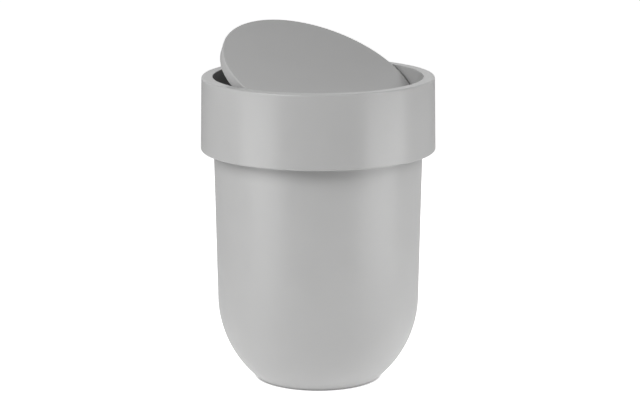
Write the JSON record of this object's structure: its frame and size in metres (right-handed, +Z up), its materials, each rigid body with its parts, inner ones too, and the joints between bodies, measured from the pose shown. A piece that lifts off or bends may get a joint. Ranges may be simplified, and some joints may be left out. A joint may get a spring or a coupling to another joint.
{
  "type": "swing-lid waste bin",
  "caption": "Small round swing-lid waste bin: tapered bucket with rounded bottom, wide lift-off collar and a round flap that swings on pins in the collar's mouth.",
  "frame": {"origin": "centre of the flat foot, on the surface that the bin stands on", "axes": "+Z up along the bucket's axis, X along the flap's hinge, the flap's raised side towards +Y"},
  "size_m": [0.1915, 0.1916, 0.2891],
  "materials": {
    "grey_plastic": "fine matte moulded grey",
    "pin_steel": "drawn bright steel",
    "weight_steel": "zinc plated"
  },
  "bodies": {
    "bin": {"bucket": "grey_plastic"},
    "lid": {"lid_collar": "grey_plastic"},
    "flap": {"swing_flap": "grey_plastic", "pivot_pin_left": "pin_steel", "pivot_pin_right": "pin_steel", "counterweight": "weight_steel", "weight_cover": "grey_plastic"}
  },
  "joints": [
    {"name": "lid_lift", "type": "slide", "parent": "bin", "child": "lid", "axis": [0, 0, 1], "range_m": [0, 0.12]},
    {"name": "flap_swing", "type": "hinge", "parent": "lid", "child": "flap", "pos_m": [0, 0, 0.2472], "axis": [1, 0, 0], "range_deg": [-97, 43]}
  ]
}
